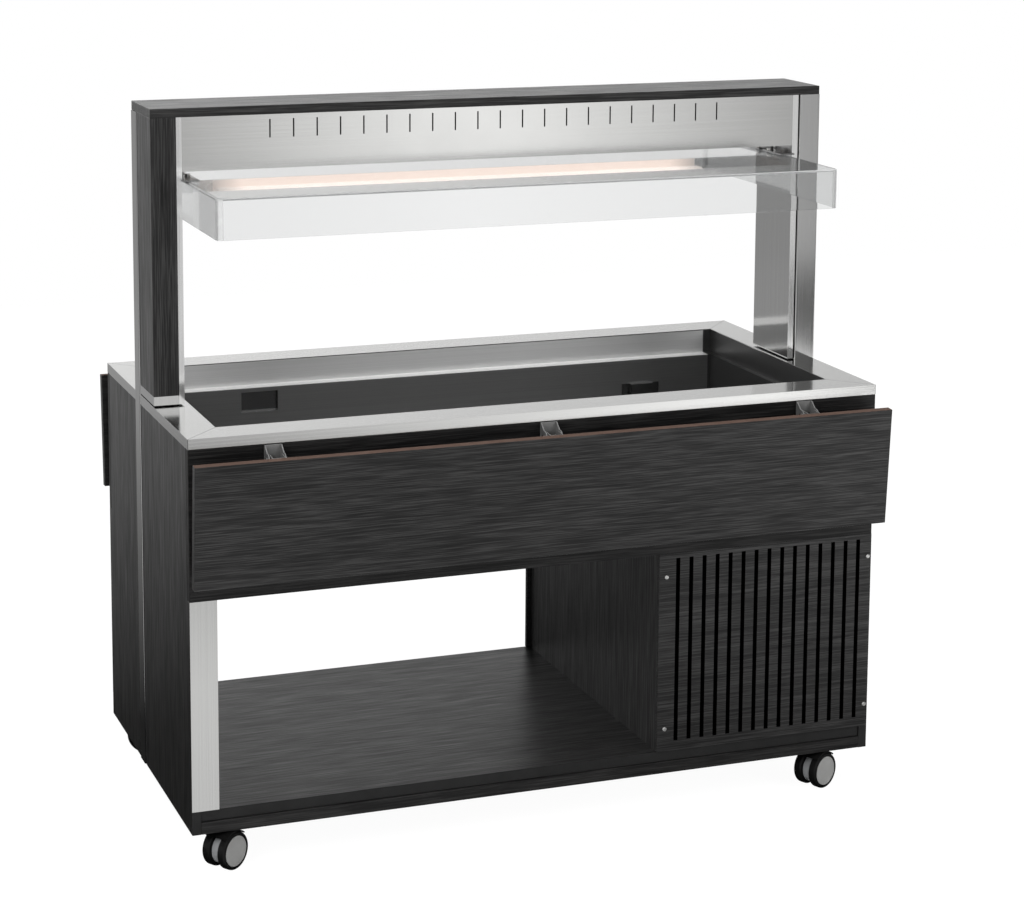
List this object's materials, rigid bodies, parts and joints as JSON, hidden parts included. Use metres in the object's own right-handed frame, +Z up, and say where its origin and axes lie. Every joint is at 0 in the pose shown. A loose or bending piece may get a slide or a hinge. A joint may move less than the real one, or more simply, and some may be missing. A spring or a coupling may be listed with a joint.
{
  "type": "cold buffet trolley",
  "caption": "Rolling cold buffet with a steel well, a lamp bridge on posts, a clear sneeze-guard canopy, folding tray slides, an open shelf and a slotted machine compartment.",
  "frame": {"origin": "on the floor under the middle of the table", "axes": "+X along the table to the right, -Y to the front that the picture shows, +Z up"},
  "size_m": [1.466, 0.8584, 1.458],
  "materials": {
    "dark_laminate": "dark wood-grain laminate, soft sheen",
    "brushed_steel": "brushed",
    "polished_steel": "fine satin, half mirror",
    "clear_acrylic": "clear, polished",
    "lamp_white": "warm glowing diffuser",
    "tyre_rubber": "matt black",
    "grey_plastic": "mid grey, satin",
    "black_plastic": "satin",
    "black_paint": "satin black",
    "fins": "mill finish",
    "copper_pipe": "drawn copper",
    "white_foam": "cut foam",
    "rubber": "matt"
  },
  "bodies": {
    "trolley": {"table_rim": "polished_steel", "well_tub": "polished_steel", "well_insulation": "white_foam", "well_bearers": "dark_laminate", "well_fittings": "brushed_steel", "drain_pipe": "brushed_steel", "top_board": "dark_laminate", "bridge_shell": "brushed_steel", "lamp_carrier": "brushed_steel", "lamp_housing": "fins", "lamp_diffuser": "lamp_white", "lamp_driver": "black_plastic", "canopy": "clear_acrylic", "canopy_brackets": "brushed_steel", "screws": "brushed_steel", "front_fascia": "dark_laminate", "rear_fascia": "dark_laminate", "left_side_panels": "dark_laminate", "right_side_panels": "dark_laminate", "left_inner_wall": "dark_laminate", "edge_covers": "brushed_steel", "divider": "dark_laminate", "base_board": "dark_laminate", "ceiling_panel": "dark_laminate", "plinths": "dark_laminate", "front_grille": "dark_laminate", "rear_service_panel": "dark_laminate", "control_unit": "black_plastic", "flap_consoles": "brushed_steel", "flap_pivots": "brushed_steel", "flap_buffers": "rubber", "unit_tray": "brushed_steel", "compressor": "black_paint", "condenser": "fins", "fan_frame": "black_paint", "refrigerant_pipes": "copper_pipe", "columns": "brushed_steel", "post_liners": "brushed_steel", "post_claddings": "dark_laminate", "caster_plates": "brushed_steel"},
    "front_flap": {"front_flap": "dark_laminate", "front_flap_arms": "brushed_steel"},
    "rear_flap": {"rear_flap": "dark_laminate", "rear_flap_arms": "brushed_steel"},
    "drain_lever": {"drain_lever": "brushed_steel"},
    "main_rocker": {"main_rocker": "black_plastic"},
    "lamp_rocker": {"lamp_rocker": "black_plastic"},
    "fan_rotor": {"fan_rotor": "fins"},
    "caster_front_left": {"caster_hood_front_left": "grey_plastic"},
    "left_wheel_front_left": {"left_wheel_front_left": "tyre_rubber"},
    "right_wheel_front_left": {"right_wheel_front_left": "tyre_rubber"},
    "caster_front_right": {"caster_hood_front_right": "grey_plastic"},
    "left_wheel_front_right": {"left_wheel_front_right": "tyre_rubber"},
    "right_wheel_front_right": {"right_wheel_front_right": "tyre_rubber"},
    "caster_rear_left": {"caster_hood_rear_left": "grey_plastic"},
    "left_wheel_rear_left": {"left_wheel_rear_left": "tyre_rubber"},
    "right_wheel_rear_left": {"right_wheel_rear_left": "tyre_rubber"},
    "caster_rear_right": {"caster_hood_rear_right": "grey_plastic"},
    "left_wheel_rear_right": {"left_wheel_rear_right": "tyre_rubber"},
    "right_wheel_rear_right": {"right_wheel_rear_right": "tyre_rubber"}
  },
  "joints": [
    {"name": "front_flap_hinge", "type": "hinge", "parent": "trolley", "child": "front_flap", "pos_m": [0, -0.385, 0.8155], "axis": [-1, 0, 0], "range_deg": [0, 94]},
    {"name": "rear_flap_hinge", "type": "hinge", "parent": "trolley", "child": "rear_flap", "pos_m": [0, 0.385, 0.8155], "axis": [1, 0, 0], "range_deg": [0, 94]},
    {"name": "drain_lever_turn", "type": "hinge", "parent": "trolley", "child": "drain_lever", "pos_m": [0.205, 0.1777, 0.48], "axis": [0, -1, 0], "range_deg": [0, 90]},
    {"name": "main_rocker_tilt", "type": "hinge", "parent": "trolley", "child": "main_rocker", "pos_m": [0.56, 0.3615, 0.47], "axis": [1, 0, 0], "range_deg": [0, 14]},
    {"name": "lamp_rocker_tilt", "type": "hinge", "parent": "trolley", "child": "lamp_rocker", "pos_m": [0.525, 0.3615, 0.47], "axis": [1, 0, 0], "range_deg": [0, 14]},
    {"name": "fan_spin", "type": "hinge", "parent": "trolley", "child": "fan_rotor", "pos_m": [0.495, -0.28, 0.261], "axis": [0, 1, 0], "continuous": true},
    {"name": "caster_front_left_swivel", "type": "hinge", "parent": "trolley", "child": "caster_front_left", "pos_m": [-0.643, -0.327, 0.09], "axis": [0, 0, 1], "continuous": true},
    {"name": "left_wheel_front_left_roll", "type": "hinge", "parent": "caster_front_left", "child": "left_wheel_front_left", "pos_m": [-0.67028, -0.32291, 0.0375], "axis": [0.5736, -0.8192, 0], "continuous": true},
    {"name": "right_wheel_front_left_roll", "type": "hinge", "parent": "caster_front_left", "child": "right_wheel_front_left", "pos_m": [-0.64848, -0.35403, 0.0375], "axis": [0.5736, -0.8192, 0], "continuous": true},
    {"name": "caster_front_right_swivel", "type": "hinge", "parent": "trolley", "child": "caster_front_right", "pos_m": [0.643, -0.327, 0.09], "axis": [0, 0, 1], "continuous": true},
    {"name": "left_wheel_front_right_roll", "type": "hinge", "parent": "caster_front_right", "child": "left_wheel_front_right", "pos_m": [0.61684, -0.31823, 0.0375], "axis": [0.4226, -0.9063, 0], "continuous": true},
    {"name": "right_wheel_front_right_roll", "type": "hinge", "parent": "caster_front_right", "child": "right_wheel_front_right", "pos_m": [0.6329, -0.35267, 0.0375], "axis": [0.4226, -0.9063, 0], "continuous": true},
    {"name": "caster_rear_left_swivel", "type": "hinge", "parent": "trolley", "child": "caster_rear_left", "pos_m": [-0.643, 0.327, 0.09], "axis": [0, 0, 1], "continuous": true},
    {"name": "left_wheel_rear_left_roll", "type": "hinge", "parent": "caster_rear_left", "child": "left_wheel_rear_left", "pos_m": [-0.65082, 0.35345, 0.0375], "axis": [-0.5, -0.866, 0], "continuous": true},
    {"name": "right_wheel_rear_left_roll", "type": "hinge", "parent": "caster_rear_left", "child": "right_wheel_rear_left", "pos_m": [-0.66982, 0.32055, 0.0375], "axis": [-0.5, -0.866, 0], "continuous": true},
    {"name": "caster_rear_right_swivel", "type": "hinge", "parent": "trolley", "child": "caster_rear_right", "pos_m": [0.643, 0.327, 0.09], "axis": [0, 0, 1], "continuous": true},
    {"name": "left_wheel_rear_right_roll", "type": "hinge", "parent": "caster_rear_right", "child": "left_wheel_rear_right", "pos_m": [0.61684, 0.33577, 0.0375], "axis": [0.4226, -0.9063, 0], "continuous": true},
    {"name": "right_wheel_rear_right_roll", "type": "hinge", "parent": "caster_rear_right", "child": "right_wheel_rear_right", "pos_m": [0.6329, 0.30133, 0.0375], "axis": [0.4226, -0.9063, 0], "continuous": true}
  ]
}
